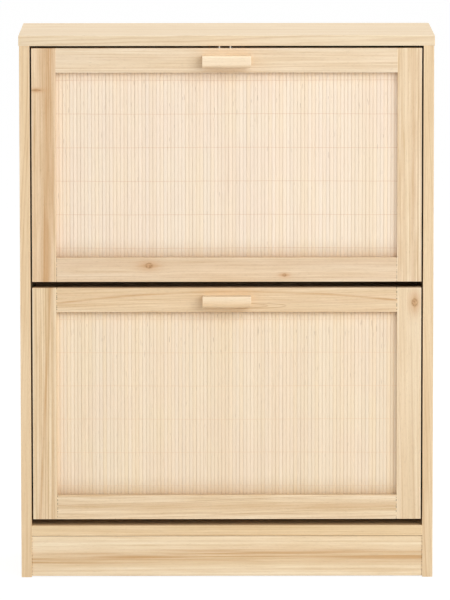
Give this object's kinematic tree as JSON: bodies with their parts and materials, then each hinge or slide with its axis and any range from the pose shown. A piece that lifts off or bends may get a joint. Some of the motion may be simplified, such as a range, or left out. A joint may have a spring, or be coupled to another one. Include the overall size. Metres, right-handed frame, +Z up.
{
  "type": "shoe cabinet",
  "caption": "Tall, shallow shoe cabinet in light wood. Framed, slatted doors tilt out on pivots, and each carries a stepped bin that holds shoes on end.",
  "frame": {"origin": "on the floor, under the middle of the bounding box, handles included", "axes": "+Z up, the doors face -Y, +X to the right of someone who faces the doors"},
  "size_m": [0.6, 0.263, 0.79],
  "materials": {
    "carcass_wood": "clear matt lacquer over a light softwood laminate",
    "frame_wood": "clear matt lacquer over light solid softwood",
    "handle_wood": "clear satin lacquer over pale solid wood",
    "slat_wood": "pale bamboo slats, left matt",
    "back_board": "thin hardboard with a light wood print",
    "bin_board": "thin plywood, matt lacquer",
    "black_plastic": "black injection-moulded plastic, fine texture",
    "white_plastic": "off-white moulded plastic",
    "brown_plastic": "dark brown moulded plastic",
    "steel": "zinc-plated steel"
  },
  "bodies": {
    "cabinet": {"top_board": "carcass_wood", "side_panel_left": "carcass_wood", "side_panel_right": "carcass_wood", "bottom_shelf": "carcass_wood", "plinth_board": "carcass_wood", "rear_foot_rail": "carcass_wood", "top_rear_rail": "carcass_wood", "middle_stretcher": "carcass_wood", "back_panel_upper": "back_board", "back_panel_lower": "back_board", "back_joint_strip": "white_plastic", "upper_catch_housing": "brown_plastic", "lower_catch_housing": "brown_plastic", "upper_catch_pole_a": "steel", "upper_catch_pole_b": "steel", "lower_catch_pole_a": "steel", "lower_catch_pole_b": "steel", "upper_bracket_left": "black_plastic", "upper_bracket_right": "black_plastic", "lower_bracket_left": "black_plastic", "lower_bracket_right": "black_plastic"},
    "upper_door": {"upper_stile_left": "frame_wood", "upper_stile_right": "frame_wood", "upper_rail_top": "frame_wood", "upper_rail_bottom": "frame_wood", "upper_slat_panel": "slat_wood", "upper_backing_board": "back_board", "upper_handle": "handle_wood", "upper_handle_screw_left": "steel", "upper_handle_screw_right": "steel", "upper_strike_plate": "steel", "upper_cheek_left": "black_plastic", "upper_cheek_right": "black_plastic", "upper_front_shelf": "bin_board", "upper_divider": "bin_board", "upper_rear_shelf": "bin_board", "upper_rear_stop": "bin_board", "upper_buffer_left": "white_plastic", "upper_buffer_right": "white_plastic"},
    "lower_door": {"lower_stile_left": "frame_wood", "lower_stile_right": "frame_wood", "lower_rail_top": "frame_wood", "lower_rail_bottom": "frame_wood", "lower_slat_panel": "slat_wood", "lower_backing_board": "back_board", "lower_handle": "handle_wood", "lower_handle_screw_left": "steel", "lower_handle_screw_right": "steel", "lower_strike_plate": "steel", "lower_cheek_left": "black_plastic", "lower_cheek_right": "black_plastic", "lower_front_shelf": "bin_board", "lower_divider": "bin_board", "lower_rear_shelf": "bin_board", "lower_rear_stop": "bin_board"}
  },
  "joints": [
    {"name": "upper_door_tilt", "type": "hinge", "parent": "cabinet", "child": "upper_door", "pos_m": [0, -0.0815, 0.483], "axis": [1, 0, 0], "range_deg": [0, 48]},
    {"name": "lower_door_tilt", "type": "hinge", "parent": "cabinet", "child": "lower_door", "pos_m": [0, -0.0815, 0.1355], "axis": [1, 0, 0], "range_deg": [0, 48]}
  ]
}
